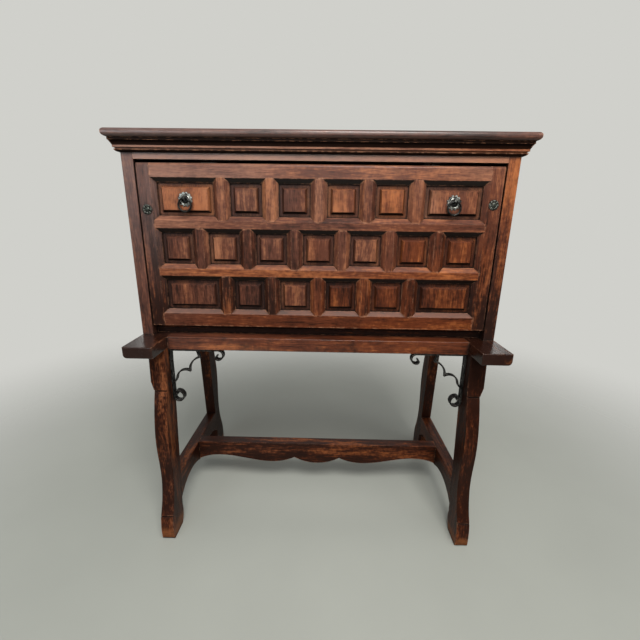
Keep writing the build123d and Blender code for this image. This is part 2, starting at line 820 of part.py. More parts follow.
with BuildPart() as door_stile_right:
    with BuildSketch(door_face):
        with Locations((door_half - stile_width / 2, door_middle)):
            Rectangle(stile_width, door_height)
        for row_z, _, _, _ in rows:
            bevel_tooth(lattice_half, row_z, opening_height, 90)
    extrude(amount=-door_thickness)
    for cutter in cutters:
        add(cutter, mode=Mode.SUBTRACT)
    for low, width, _ in cross_rails:
        tenon_width = width - 2 * tenon_shoulder
        tongue_box(lattice_half, low + width / 2, 2 * rail_tongue, tenon_width, Mode.SUBTRACT)
    front_edges = door_stile_right.faces().sort_by(Axis.Y)[0].edges()
    fillet(front_edges.sort_by(Axis.Z)[-1], door_top_round)
    side_edges = door_stile_right.edges().filter_by(Axis.Z).group_by(Axis.X)[-1]
    fillet(side_edges.sort_by(Axis.Y)[0], door_side_round)
door_stile_left = twin(door_stile_right)

stud_x = door_half - stud_inset
studs_at = (
    (-stud_x, door_top - stud_left_drop),
    (stud_x, door_top - stud_right_drop),
)
for stile, (x, z), name in (
    (door_stile_left, studs_at[0], "door_stile_left"),
    (door_stile_right, studs_at[1], "door_stile_right"),
):
    with BuildPart() as drilled_stile:
        add(stile.part)
        with Locations(Plane(origin=(x, door_face_y, z), z_dir=(0, -1, 0))):
            Hole(stud_shank_radius + fit_play, depth=stud_shank_length + tenon_play)
    keep(drilled_stile, name)

for index, (low, width, name) in enumerate(cross_rails):
    high = low + width
    with BuildPart() as door_rail:
        with BuildSketch(door_face):
            with Locations((0, low + width / 2)):
                Rectangle(2 * lattice_half, width)
            if index > 0:
                for x, length in rows[index - 1][1]:
                    bevel_tooth(x, low, length, 180)
            if index < len(rows):
                for x, length in rows[index][1]:
                    bevel_tooth(x, high, length, 0)
        extrude(amount=-door_thickness)
        if index > 0:
            add(cutters[index - 1], mode=Mode.SUBTRACT)
            for x in rows[index - 1][2]:
                with Locations((x, door_face_y + tenon_depth, low)):
                    Box(muntin_tenon, tenon_thickness, 2 * muntin_tongue, mode=Mode.SUBTRACT)
        if index < len(rows):
            add(cutters[index], mode=Mode.SUBTRACT)
            for x in rows[index][2]:
                with Locations((x, door_face_y + tenon_depth, high)):
                    Box(muntin_tenon, tenon_thickness, 2 * muntin_tongue, mode=Mode.SUBTRACT)
        for x in (-lattice_half, lattice_half):
            tenon_width = width - 2 * tenon_shoulder
            tongue_box(x, low + width / 2, 2 * rail_tongue, tenon_width, Mode.ADD, 2 * tenon_play)
        if name == "door_top_rail":
            front = door_rail.faces().filter_by(Axis.Y).sort_by(Axis.Y)[0]
            fillet(front.edges().sort_by(Axis.Z)[-1], door_top_round)
            with Locations((0, carcass_front + catch_inset, door_top)):
                with GridLocations(catch_spacing, 1, 2, 1):
                    Cylinder(
                        strike_pin_radius + fit_play,
                        2 * (strike_pin_length + tenon_play),
                        mode=Mode.SUBTRACT,
                    )
        if name == "door_bottom_rail":
            with Locations(*door_leaf_places):
                add(leaf_recess.part, mode=Mode.SUBTRACT)
    keep(door_rail, name)

for (row_z, openings, muntins, name), cutter in zip(rows, cutters):
    with BuildPart() as row_muntins:
        with BuildSketch(door_face):
            for x in muntins:
                with Locations((x, row_z)):
                    Rectangle(muntin_face, opening_height)
                bevel_tooth(x - muntin_face / 2, row_z, opening_height, 90)
                bevel_tooth(x + muntin_face / 2, row_z, opening_height, -90)
        extrude(amount=-door_thickness)
        add(cutter, mode=Mode.SUBTRACT)
        for x in muntins:
            with Locations((x, door_face_y + tenon_depth, row_z)):
                Box(
                    muntin_tenon,
                    tenon_thickness,
                    opening_height + 2 * (muntin_tongue - tenon_play),
                )
    keep(row_muntins, f"muntins_{name}_row")

    with BuildPart() as row_panels:
        for x, width in openings:
            sight_width = width - 2 * bevel_width
            sight_height = opening_height - 2 * bevel_width
            with BuildSketch(door_face.offset(-panel_setback - tongue_thickness)):
                with Locations((x, row_z)):
                    Rectangle(sight_width + 2 * tongue_length, sight_height + 2 * tongue_length)
            extrude(amount=tongue_thickness)
            with BuildSketch(door_face.offset(-panel_setback)):
                with Locations((x, row_z)):
                    Rectangle(sight_width - 2 * panel_margin, sight_height - 2 * panel_margin)
            extrude(amount=panel_rise, taper=panel_angle)
        if name == "top":
            for x in (-wide_x, wide_x):
                with Locations((x, door_face_y + door_thickness / 2, pull_z)):
                    Cylinder(
                        staple_shank_radius + fit_play,
                        door_thickness,
                        rotation=(90, 0, 0),
                        mode=Mode.SUBTRACT,
                    )
    keep(row_panels, f"panels_{name}_row")

# ---- Ring pulls: scalloped plate, staple driven through the panel, free ring
plate_y = door_face_y + panel_setback - panel_rise
eye_y = plate_y - pull_plate_thickness - eye_stand_off
panel_back_y = door_face_y + panel_setback + tongue_thickness

with BuildPart() as pull_plate_right:
    with BuildSketch(Plane(origin=(wide_x, plate_y, top_row), x_dir=(1, 0, 0), z_dir=(0, 0, 1))):
        with BuildLine():
            rim = pull_plate_thickness / 3
            outline = Polyline(
                (0, 0),
                (pull_plate_radius, 0),
                (pull_plate_radius, -rim),
                (0.7 * pull_plate_radius, -2 * rim),
                (0.62 * pull_plate_radius, -rim),
            )
            boss = ThreePointArc(
                outline @ 1,
                (0.45 * pull_plate_radius, -2.6 * rim),
                (0.2 * pull_plate_radius, -pull_plate_thickness),
            )
            Polyline(boss @ 1, (0, -pull_plate_thickness), (0, 0))
        make_face()
    revolve(axis=Axis((wide_x, plate_y, top_row), (0, 1, 0)))
    with BuildSketch(Plane.XZ.offset(-plate_y)):
        with Locations((wide_x, top_row)):
            with PolarLocations(pull_plate_radius, plate_scallops):
                Circle(plate_scallop_radius)
    extrude(amount=2 * pull_plate_thickness, both=True, mode=Mode.SUBTRACT)
    with Locations((wide_x, plate_y, pull_z)):
        Cylinder(
            staple_shank_radius + fit_play,
            4 * pull_plate_thickness,
            rotation=(90, 0, 0),
            mode=Mode.SUBTRACT,
        )
keep(pull_plate_right, "pull_plate_right")
keep(twin(pull_plate_right), "pull_plate_left")

with BuildPart() as staple_right:
    eye_radius = eye_hole_radius + eye_rod
    with BuildSketch(Plane.YZ.offset(wide_x)):
        with Locations((eye_y, pull_z)):
            Circle(eye_radius)
            Circle(eye_hole_radius, mode=Mode.SUBTRACT)
    extrude(amount=eye_thickness / 2, both=True)
    shank_start = eye_y + eye_hole_radius + eye_rod / 2
    shank_length = panel_back_y - shank_start
    with Locations((wide_x, shank_start + shank_length / 2, pull_z)):
        Cylinder(staple_shank_radius, shank_length, rotation=(90, 0, 0))
    with Locations((wide_x, panel_back_y + staple_shank_radius / 2, pull_z)):
        Box(staple_leg_span, staple_shank_radius, 2 * staple_shank_radius)
keep(staple_right, "staple_right")
keep(twin(staple_right), "staple_left")

with BuildPart() as ring_right:
    with Locations((wide_x, eye_y, pull_z - ring_radius)):
        Torus(ring_radius, ring_rod_radius, rotation=(90, 0, 0))
keep(ring_right, "ring_right")
keep(twin(ring_right), "ring_left")

# ---- Studs: domed nails on the stiles
with BuildPart() as stud:
    with BuildSketch(Plane.XZ):
        with BuildLine():
            brim = Polyline((0, 0), (stud_radius, 0), (stud_radius, 0.2 * stud_rise))
            curl = ThreePointArc(
                brim @ 1,
                (0.8 * stud_radius, 0.55 * stud_rise),
                (0.6 * stud_radius, 0.3 * stud_rise),
            )
            crown = Spline(curl @ 1, (0, stud_rise), tangents=((-1, 1.5), (-1, 0)))
            Line(crown @ 1, (0, 0))
        make_face()
    revolve(axis=Axis.Z)
    Cylinder(
        stud_shank_radius,
        stud_shank_length,
        align=(Align.CENTER, Align.CENTER, Align.MAX),
    )

with BuildPart() as studs:
    with Locations(*[Plane(origin=(x, door_face_y, z), z_dir=(0, -1, 0)) for x, z in studs_at]):
        add(stud.part)
keep(studs, "studs")

# ---- Catches: a spring ball in the top rail over a strike on the fall front
catch_y = carcass_front + catch_inset
catch_z = carcass_top - top_rail_height

with BuildPart() as catch:
    Box(
        catch_plate_length,
        catch_plate_width,
        catch_plate_thickness,
        align=(Align.CENTER, Align.CENTER, Align.MAX),
    )
    Cylinder(
        catch_barrel_radius,
        catch_barrel_length,
        align=(Align.CENTER, Align.CENTER, Align.MIN),
    )
    with Locations((0, 0, catch_ball_radius - (catch_z - door_top - strike_thickness - catch_play))):
        Sphere(catch_ball_radius)

with BuildPart() as catches:
    with Locations((0, catch_y, catch_z)):
        with GridLocations(catch_spacing, 1, 2, 1):
            add(catch.part)
keep(catches, "catches")

with BuildPart() as strike:
    Box(
        strike_length,
        catch_plate_width,
        strike_thickness,
        align=(Align.CENTER, Align.CENTER, Align.MIN),
    )
    Cylinder(
        strike_pin_radius,
        strike_pin_length,
        align=(Align.CENTER, Align.CENTER, Align.MAX),
    )

with BuildPart() as strikes:
    with Locations((0, catch_y, door_top)):
        with GridLocations(catch_spacing, 1, 2, 1):
            add(strike.part)
keep(strikes, "strikes")

# ---- Gallery: a shelf on two dividers, and a drawer in each outer bay
gallery_front = carcass_front + writing_depth
gallery_depth = front_of_back - gallery_front
gallery_y = gallery_front + gallery_depth / 2
shelf_underside = hinge_z + gallery_height
divider_x = centre_bay_width / 2 + divider_thickness / 2
bay_inner = centre_bay_width / 2 + divider_thickness
bay_width = side_inner - bay_inner
bay_x = (side_inner + bay_inner) / 2

with BuildPart() as gallery_shelf:
    with Locations((0, gallery_y, shelf_underside + shelf_thickness / 2)):
        Box(2 * side_inner, gallery_depth, shelf_thickness)
keep(gallery_shelf, "gallery_shelf")

with BuildPart() as gallery_divider_right:
    with Locations((divider_x, gallery_y, hinge_z + gallery_height / 2)):
        Box(divider_thickness, gallery_depth, gallery_height)
keep(gallery_divider_right, "gallery_divider_right")
keep(twin(gallery_divider_right), "gallery_divider_left")

drawer_width = bay_width - 2 * drawer_side_play
drawer_height = gallery_height - drawer_running_gap - drawer_top_play
drawer_foot = hinge_z + drawer_running_gap
box_front = gallery_front + drawer_front_thickness
box_depth = front_of_back - drawer_back_gap - box_front
box_height = drawer_height - drawer_side_drop

with BuildPart() as drawer_front_right:
    with Locations((bay_x, gallery_front + drawer_front_thickness / 2, drawer_foot + drawer_height / 2)):
        Box(drawer_width, drawer_front_thickness, drawer_height)
    face = drawer_front_right.faces().sort_by(Axis.Y)[0]
    chamfer(face.edges(), drawer_chamfer)
    with Locations((bay_x, gallery_front, drawer_foot + drawer_height / 2)):
        Cylinder(
            knob_neck_radius / 2 + fit_play,
            2 * drawer_front_thickness,
            rotation=(90, 0, 0),
            mode=Mode.SUBTRACT,
        )
keep(drawer_front_right, "drawer_front_right")
keep(twin(drawer_front_right), "drawer_front_left")

with BuildPart() as drawer_box_right:
    with Locations((bay_x, box_front + box_depth / 2, drawer_foot)):
        Box(
            drawer_width,
            box_depth,
            box_height,
            align=(Align.CENTER, Align.CENTER, Align.MIN),
        )
    hollow_y = box_front + (box_depth - drawer_wall) / 2
    with Locations((bay_x, hollow_y, drawer_foot + drawer_bottom_thickness)):
        Box(
            drawer_width - 2 * drawer_wall,
            box_depth - drawer_wall,
            box_height,
            align=(Align.CENTER, Align.CENTER, Align.MIN),
            mode=Mode.SUBTRACT,
        )
keep(drawer_box_right, "drawer_box_right")
keep(twin(drawer_box_right), "drawer_box_left")

with BuildPart() as drawer_knob_right:
    knob_base = Plane(
        origin=(bay_x, gallery_front, drawer_foot + drawer_height / 2),
        x_dir=(1, 0, 0),
        z_dir=(0, 0, 1),
    )
    with BuildSketch(knob_base):
        with BuildLine():
            neck = Polyline(
                (0, drawer_front_thickness - tenon_play),
                (knob_neck_radius / 2, drawer_front_thickness - tenon_play),
                (knob_neck_radius / 2, 0),
                (knob_radius * 0.7, 0),
                (knob_neck_radius, -0.35 * knob_length),
            )
            flare = ThreePointArc(
                neck @ 1,
                (knob_radius, -0.68 * knob_length),
                (0.6 * knob_radius, -0.94 * knob_length),
            )
            cap = Spline(flare @ 1, (0, -knob_length), tangents=(flare % 1, (-1, 0)))
            Line(cap @ 1, (0, drawer_front_thickness - tenon_play))
        make_face()
    revolve(axis=Axis(knob_base.origin, (0, 1, 0)))
keep(drawer_knob_right, "drawer_knob_right")
keep(twin(drawer_knob_right), "drawer_knob_left")
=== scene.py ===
import math

import bmesh
import bpy
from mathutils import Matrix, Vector


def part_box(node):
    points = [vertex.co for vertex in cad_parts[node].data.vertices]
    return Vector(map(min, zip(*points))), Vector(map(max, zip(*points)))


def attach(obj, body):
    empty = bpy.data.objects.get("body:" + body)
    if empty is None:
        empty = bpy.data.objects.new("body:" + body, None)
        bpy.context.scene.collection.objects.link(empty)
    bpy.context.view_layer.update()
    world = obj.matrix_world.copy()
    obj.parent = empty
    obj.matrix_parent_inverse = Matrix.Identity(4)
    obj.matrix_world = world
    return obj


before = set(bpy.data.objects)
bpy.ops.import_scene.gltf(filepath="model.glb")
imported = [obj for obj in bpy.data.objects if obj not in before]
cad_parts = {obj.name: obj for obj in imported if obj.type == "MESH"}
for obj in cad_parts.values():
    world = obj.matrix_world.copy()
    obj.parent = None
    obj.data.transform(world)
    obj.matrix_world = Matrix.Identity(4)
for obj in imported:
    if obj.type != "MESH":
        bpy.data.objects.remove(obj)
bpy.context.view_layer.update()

scene = bpy.context.scene


def stain(red, green, blue):
    # a colour as painters read it, 0 to 255, turned to scene light by the sRGB curve
    parts = [part / 255 for part in (red, green, blue)]
    return [p / 12.92 if p < 0.04045 else ((p + 0.055) / 1.055) ** 2.4 for p in parts] + [1.0]


def newFinish(name):
    finish = bpy.data.materials.new(name)
    finish.use_nodes = True
    finish.node_tree.nodes.clear()
    return finish, finish.node_tree


def coat(node, finish):
    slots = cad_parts[node].data.materials
    for place in range(len(slots)):
        slots[place] = finish


def put(tree, kind, sockets, **settings):
    node = tree.nodes.new("ShaderNode" + kind)
    for key, value in settings.items():
        setattr(node, key, value)
    for key, value in sockets.items():
        if isinstance(value, bpy.types.NodeSocket):
            tree.links.new(value, node.inputs[key])
        else:
            node.inputs[key].default_value = value
    return node


def calc(tree, operation, *values):
    return put(tree, "Math", dict(enumerate(values)), operation=operation).outputs[0]


def move(tree, operation, *values):
    return put(tree, "VectorMath", dict(enumerate(values)), operation=operation).outputs[0]


def axisOf(tree, vector, axis):
    return put(tree, "SeparateXYZ", {0: vector}).outputs[axis]


def ease(tree, value, low, high, first=0.0, last=1.0):
    sockets = {"Value": value, "From Min": low, "From Max": high, "To Min": first, "To Max": last}
    return put(tree, "MapRange", sockets, interpolation_type="SMOOTHSTEP").outputs[0]


def tint(tree, amount, first, second, mode="MIX"):
    sockets = {0: amount, 6: first, 7: second}
    return put(tree, "Mix", sockets, data_type="RGBA", blend_type=mode).outputs[2]


def mottle(tree, place, scale, detail=3.0, rough=0.5):
    sockets = {"Vector": place, "Scale": scale, "Detail": detail, "Roughness": rough}
    return put(tree, "TexNoise", sockets).outputs[0]


def weigh(tree, fields, weights, start):
    # start plus each field's swing round its middle, times its weight
    total = start
    for name, weight in weights.items():
        swing = calc(tree, "SUBTRACT", fields[name], 0.5)
        total = calc(tree, "ADD", total, calc(tree, "MULTIPLY", swing, weight))
    return total


def hollows(tree, distance, inside=False, samples=6):
    # 0 in the open, 1 deep in a corner; inside finds the sharp outer edges
    sockets = {"Distance": distance}
    node = put(tree, "AmbientOcclusion", sockets, inside=inside, only_local=inside, samples=samples)
    return calc(tree, "SUBTRACT", 1.0, node.outputs["AO"])


def skin(tree, height, look, sockets):
    # the shader itself, with rounded edges and the height's bumps in its normal
    soft = put(tree, "Bevel", {"Radius": look["softEdge"]}, samples=4).outputs[0]
    bumpSockets = {"Strength": look["strength"], "Distance": look["bump"], "Height": height, "Normal": soft}
    bump = put(tree, "Bump", bumpSockets).outputs[0]
    surface = put(tree, "BsdfPrincipled", {**sockets, "Normal": bump})
    put(tree, "OutputMaterial", {"Surface": surface.outputs[0]})


coolStains = {
    "dark": stain(40, 24, 19),
    "mid": stain(88, 55, 44),
    "light": stain(136, 94, 74),
    "worn": stain(168, 116, 84),  # stain rubbed through to the wood
}
warmStains = {
    "dark": stain(36, 15, 7),
    "mid": stain(92, 44, 22),
    "light": stain(142, 78, 40),
    "worn": stain(180, 108, 58),
}
pitch = stain(14, 6, 4)  # near black: old wax and dirt, and painted shade on undersides, in recesses, in hollows and under the top
rubbed = stain(166, 118, 90)  # sharp edges, down to the wood
bloomAndSheen = stain(124, 113, 112)  # old polish gone milky, and painted grey sheen
ledgeSheenColour = stain(140, 122, 114)  # painted grey sheen on ledges

woodGrain = {  # cycles a metre across and along the grain
    "broad": (13.0, 2.0),
    "figure": (60.0, 8.0),
    "streak": (210.0, 14.0),
    "fibre": (520.0, 40.0),
    "pore": (1100.0, 60.0),
}
woodMarks = {  # cycles a metre, detail and roughness of marks that ignore the grain
    "scuff": (85.0, 3.0, 0.6),
    "smudge": (16.0, 4.0, 0.6),
    "chip": (70.0, 3.0, 0.6),
}
logLook = {
    "cellJump": (7.0, 5.0, 9.0),  # metres in the log between boards, so no two match
    "pieceJump": (1.37, 0.71, 2.13),
    "wander": 0.012,  # metres that the grain drifts off its line
    "wanderScale": 5.0,
    "wanderDetail": 1.0,
    "grainDetail": 2.0,
    "glowScale": 0.6,  # bands of warmth, a little wider than the broad grain
    "poreRange": (0.42, 0.28),
}


def stretched(tree, place, layer, grain):
    across, along = woodGrain[layer]
    return move(tree, "MULTIPLY", place, [along if axis == grain else across for axis in "XYZ"])


def ownBoard(tree, place, look):
    # every piece, or every cell of a row, is cut from a board of its own
    if "pitch" not in look:
        low, high = look["ends"]
        along = axisOf(tree, place, look["grain"])
        share = calc(tree, "DIVIDE", calc(tree, "SUBTRACT", along, low), high - low)
        return share, [look["seed"] * jump for jump in logLook["pieceJump"]]
    cells = len(look["shades"])
    along = calc(tree, "ADD", axisOf(tree, place, "X"), look["start"])
    count = calc(tree, "FLOOR", calc(tree, "DIVIDE", along, look["pitch"]))
    count = calc(tree, "SUBTRACT", count, look["first"])
    count = calc(tree, "MAXIMUM", calc(tree, "MINIMUM", count, cells - 1.0), 0.0)
    share = calc(tree, "DIVIDE", calc(tree, "ADD", count, 0.5), float(cells))
    seed = calc(tree, "ADD", count, look["seed"])
    dice = put(tree, "TexWhiteNoise", {"W": seed}, noise_dimensions="1D").outputs["Color"]
    return share, move(tree, "MULTIPLY", dice, logLook["cellJump"])


def shadeSteps(tree, share, look):
    # tone, warmth and wear: from end to end of a board, or one set for each cell of a row
    ramp = put(tree, "ValToRGB", {"Fac": share})
    stops = ramp.color_ramp
    cells = "pitch" in look
    stops.interpolation = "CONSTANT" if cells else "EASE"
    last = len(look["shades"]) - (0 if cells else 1)
    while len(stops.elements) < len(look["shades"]):
        stops.elements.new(0.5)
    for step in range(len(look["shades"])):
        stops.elements[step].position = step / last
    for step, shade in enumerate(look["shades"]):
        stops.elements[step].color = [*shade, 1.0]
    parts = put(tree, "SeparateXYZ", {0: ramp.outputs["Color"]}).outputs
    return parts["X"], parts["Y"], parts["Z"]


def layGrain(tree, board, look):
    sockets = {"Vector": board, "Scale": logLook["wanderScale"], "Detail": logLook["wanderDetail"]}
    drift = put(tree, "TexNoise", sockets).outputs["Color"]
    drift = move(tree, "SUBTRACT", drift, (0.5, 0.5, 0.5))
    drift = move(tree, "MULTIPLY", drift, [logLook["wander"]] * 3)
    board = move(tree, "ADD", board, drift)
    fields = {}
    for layer in woodGrain:
        line = stretched(tree, board, layer, look["grain"])
        fields[layer] = mottle(tree, line, 1.0, logLook["grainDetail"])
    fields["glow"] = mottle(tree, stretched(tree, board, "broad", look["grain"]), logLook["glowScale"])
    for mark, (scale, detail, rough) in woodMarks.items():
        fields[mark] = mottle(tree, board, scale, detail, rough)
    fields["pores"] = ease(tree, fields["pore"], *logLook["poreRange"])
    return fields


stainLook = {
    "tone": {"broad": 0.65, "figure": 0.5, "streak": 0.45, "fibre": 0.55, "scuff": 0.3},
    "warmth": {"glow": 1.4},
    "midRange": (0.18, 0.52),  # tones over which the mid stain, then the light one, takes over
    "lightRange": (0.48, 0.86),
}


def stainWood(tree, fields, toneHere, warmHere):
    tone = weigh(tree, fields, stainLook["tone"], toneHere)
    warmth = weigh(tree, fields, stainLook["warmth"], warmHere)
    warmth = calc(tree, "MAXIMUM", calc(tree, "MINIMUM", warmth, 1.0), 0.0)
    shades = {part: tint(tree, warmth, coolStains[part], warmStains[part]) for part in coolStains}
    colour = tint(tree, ease(tree, tone, *stainLook["midRange"]), shades["dark"], shades["mid"])
    colour = tint(tree, ease(tree, tone, *stainLook["lightRange"]), colour, shades["light"])
    return colour, shades


wearLook = {
    "patch": {"broad": 0.9, "figure": 0.6, "streak": 0.35, "scuff": 0.45, "fibre": 0.4},
    "spread": (0.36, 0.3),  # times the wear here, plus: how much of the board is worn
    "depth": (0.5, 0.3),  # the same, for how far through the stain it goes
    "range": (0.38, 0.78),
    "ragged": 0.04,  # metres, the upper edge of a kicked foot
    "kicked": 0.3,
    "kickRange": (0.3, 0.6, 0.5, 1.0),
}


def wearThrough(tree, fields, wornHere, look):
    patch = weigh(tree, fields, wearLook["patch"], calc(tree, "MULTIPLY_ADD", wornHere, *wearLook["spread"]))
    depth = calc(tree, "MULTIPLY_ADD", wornHere, *wearLook["depth"])
    worn = calc(tree, "MULTIPLY", ease(tree, patch, *wearLook["range"]), depth)
    if "scuffTop" in look:  # feet kicked and mopped for years, up to this height in metres
        middle = wearLook["ragged"] / 2
        height = axisOf(tree, fields["place"], "Z")
        height = calc(tree, "MULTIPLY_ADD", fields["figure"], wearLook["ragged"], height)
        top = look["scuffTop"] + middle
        full = look["scuffTop"] / 2 + middle
        kicked = ease(tree, height, top, full, 0.0, wearLook["kicked"])
        broken = ease(tree, fields["scuff"], *wearLook["kickRange"])
        worn = calc(tree, "MAXIMUM", worn, calc(tree, "MULTIPLY", kicked, broken))
    return worn


polishLook = {
    "smudge": {"smudge": 1.0, "streak": 0.4},
    "smudgeRange": (0.5, 0.74),
    "bloomSheenLayers": {"broad": 0.8, "streak": 0.5},
    "bloomSheenRange": (0.3, 0.7, 0.3, 1.0),
    "bloomSheenEnds": (0.1, 0.9),  # shares of the board between which the bloom and painted sheen go over
    "poreFill": 0.3,
}


def agePolishAndSheen(tree, colour, fields, look):
    # smudges, milky bloom with painted grey sheen, and wax in the pores
    smudge = weigh(tree, fields, polishLook["smudge"], 0.5)
    smudge = ease(tree, smudge, *polishLook["smudgeRange"], 0.0, look["sooty"])
    colour = tint(tree, smudge, colour, pitch)
    bloomSheenPatch = ease(tree, weigh(tree, fields, polishLook["bloomSheenLayers"], 0.5), *polishLook["bloomSheenRange"])
    ends = ease(tree, fields["share"], *polishLook["bloomSheenEnds"], *look["bloomSheen"])
    colour = tint(tree, calc(tree, "MULTIPLY", bloomSheenPatch, ends), colour, bloomAndSheen)
    return tint(tree, calc(tree, "MULTIPLY", fields["pores"], polishLook["poreFill"]), colour, pitch)


faceLook = {  # ranges are of the normal: up is 1, down is -1, and the front is -1 along Y
    "underRange": (-0.05, -0.5),
    "ledgeRange": (0.2, 0.65),
    "ledgeSheenRange": (0.2, 0.6),
    "sinkRagged": {"scuff": 0.006, "streak": 0.003},  # metres
    "sinkAhead": (0.0, -0.2),
    "sinkFacing": (0.15, 0.5, 1.0, 0.1),
    "eavesEdge": 0.002,  # metres
    "eavesShade": 0.97,
}


def shadeFaces(tree, colour, fields, shades, look):
    # painted shade on undersides, in what is cut below the front and under the overhang of the top; ledges
    # darkened, and a painted sheen on them
    facing = fields["facing"]
    # painted shade: what faces down goes towards near black
    colour = tint(tree, ease(tree, facing, *faceLook["underRange"], 0.0, look["under"]), colour, pitch)
    ledge = ease(tree, facing, *faceLook["ledgeRange"], 0.0, look["ledge"])
    colour = tint(tree, ledge, colour, shades["dark"])
    colour = tint(tree, ease(tree, facing, *faceLook["ledgeSheenRange"], 0.0, look["ledgeSheen"]), colour, ledgeSheenColour)
    if "sinkShade" in look:  # painted shade in what is cut below the front: metres where it starts and is full, and how dark
        start, stop, amount = look["sinkShade"]
        depth = calc(tree, "SUBTRACT", axisOf(tree, fields["place"], "Y"), look["front"])
        depth = weigh(tree, fields, faceLook["sinkRagged"], depth)
        ahead = ease(tree, axisOf(tree, fields["normal"], "Y"), *faceLook["sinkAhead"])
        recessShade = calc(tree, "MULTIPLY", ease(tree, depth, start, stop, 0.0, amount), ahead)
        recessShade = calc(tree, "MULTIPLY", recessShade, ease(tree, facing, *faceLook["sinkFacing"]))
        colour = tint(tree, recessShade, colour, pitch)
    if "eaves" in look:  # painted shadow under the overhang of the top, this many metres deep
        drop = calc(tree, "SUBTRACT", look["top"], axisOf(tree, fields["place"], "Z"))
        full = look["eaves"] - faceLook["eavesEdge"]
        eavesShadow = ease(tree, drop, look["eaves"], full, 0.0, faceLook["eavesShade"])
        colour = tint(tree, eavesShadow, colour, pitch)
    return colour


cornerLook = {
    "ragged": {"scuff": 0.3, "streak": 0.2},
    "grimeShadeRange": (0.22, 0.62),
    "seamReach": 0.008,  # metres
    "seamSpan": 0.28,
}


def fillCorners(tree, fields, look):
    # old wax and painted shade in the wide hollows, and dirt and painted shade in the tight joints
    corner = weigh(tree, fields, cornerLook["ragged"], hollows(tree, look["grimeShadeReach"]))
    grimeAndShade = ease(tree, corner, *cornerLook["grimeShadeRange"], 0.0, look["grimeAndShade"])
    tight = hollows(tree, cornerLook["seamReach"])
    seam = ease(tree, tight, look["seamFrom"], look["seamFrom"] + cornerLook["seamSpan"], 0.0, look["seam"])
    return calc(tree, "MAXIMUM", grimeAndShade, seam)


edgeLook = {
    "span": 3.0,  # full at this many times the sharpness where it starts
    "chipRange": (0.46, 0.62, 0.05, 1.0),
    "rimReach": 0.009,  # metres
    "rimRange": (0.1, 0.5),
    "rimFacing": (0.15, 0.45, 1.0, 0.0),
}


def rubEdges(tree, colour, fields, look):
    sharp = hollows(tree, look["edgeReach"], inside=True)
    edge = ease(tree, sharp, look["edgeFrom"], look["edgeFrom"] * edgeLook["span"])
    chips = ease(tree, fields["chip"], *edgeLook["chipRange"])
    rub = calc(tree, "MULTIPLY", calc(tree, "MULTIPLY", edge, chips), look["rub"])
    colour = tint(tree, rub, colour, rubbed)
    if "rim" in look:  # old wax left round a raised field, rubbed off its middle
        rim = hollows(tree, edgeLook["rimReach"], inside=True)
        rim = ease(tree, rim, *edgeLook["rimRange"], 0.0, look["rim"])
        rim = calc(tree, "MULTIPLY", rim, ease(tree, fields["facing"], *edgeLook["rimFacing"]))
        colour = tint(tree, rim, colour, pitch)
    return colour


feelLook = {
    "rough": {"fibre": 0.2, "scuff": 0.3, "grimeAndShade": 0.2},
    "dustRange": (0.2, 0.6),
    "height": {"streak": 0.6, "fibre": 0.4, "scuff": 0.5, "pores": -0.2},
    "strength": 0.6,
    "bump": 0.0007,  # metres
    "waxRough": 0.3,
    "waxBend": 1.45,
}


def woodFinish(name, look):
    finish, tree = newFinish(name)
    sight = put(tree, "TexCoord", {})
    place = sight.outputs["Object"]
    share, offset = ownBoard(tree, place, look)
    toneHere, warmHere, wornHere = shadeSteps(tree, share, look)
    fields = layGrain(tree, move(tree, "ADD", place, offset), look)
    fields["place"] = place
    fields["share"] = share
    fields["normal"] = sight.outputs["Normal"]
    fields["facing"] = axisOf(tree, fields["normal"], "Z")

    colour, shades = stainWood(tree, fields, toneHere, warmHere)
    colour = tint(tree, wearThrough(tree, fields, wornHere, look), colour, shades["worn"])
    colour = agePolishAndSheen(tree, colour, fields, look)
    colour = shadeFaces(tree, colour, fields, shades, look)
    fields["grimeAndShade"] = fillCorners(tree, fields, look)
    # old wax and painted shade in the hollows and joints
    colour = tint(tree, fields["grimeAndShade"], colour, pitch)
    colour = rubEdges(tree, colour, fields, look)

    clean = look["rough"] + feelLook["rough"]["grimeAndShade"] / 2  # so that no grime and shade leaves it as the look says
    rough = weigh(tree, fields, feelLook["rough"], clean)
    rough = calc(tree, "ADD", rough, ease(tree, fields["facing"], *feelLook["dustRange"], 0.0, look["dust"]))
    height = weigh(tree, fields, feelLook["height"], 0.5)
    skin(tree, height, {**feelLook, "softEdge": look["softEdge"]}, {
        "Base Color": colour, "Roughness": rough, "Specular IOR Level": look["shine"],
        "Coat Weight": look["wax"], "Coat Roughness": feelLook["waxRough"], "Coat IOR": feelLook["waxBend"],
    })
    return finish


plainWood = {
    "grain": "X",
    "shades": [(0.48, 0.6, 0.25), (0.48, 0.6, 0.25)],  # (tone, warmth, wear), as said below
    "bloomSheen": (0.0, 0.0),  # milky polish and painted grey sheen at the first end and at the last
    "sooty": 0.3,  # smudges
    "grimeAndShade": 0.8,  # old wax and painted shade in hollows, which reaches this many metres
    "grimeShadeReach": 0.028,
    "seam": 0.95,  # dirt and painted shade in joints, from this much of a hollow
    "seamFrom": 0.12,
    "under": 0.85,  # painted shade on what faces down, and how dark what faces up is
    "ledge": 0.0,
    "ledgeSheen": 0.0,  # painted sheen on what faces up, and dust that roughens it
    "dust": 0.0,
    "rub": 0.5,  # edges rubbed through, this many metres in, from this sharpness
    "edgeReach": 0.003,
    "edgeFrom": 0.14,
    "rough": 0.42,
    "shine": 0.3,
    "wax": 0.1,
    "softEdge": 0.0014,  # metres
}


def dressWood(node, **changes):
    look = {**plainWood, **changes}
    low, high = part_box(node)
    along = "XYZ".index(look["grain"])
    look["ends"] = (low[along], high[along])
    look["front"] = low[1]
    look["top"] = high[2]
    coat(node, woodFinish("wood_" + node, look))
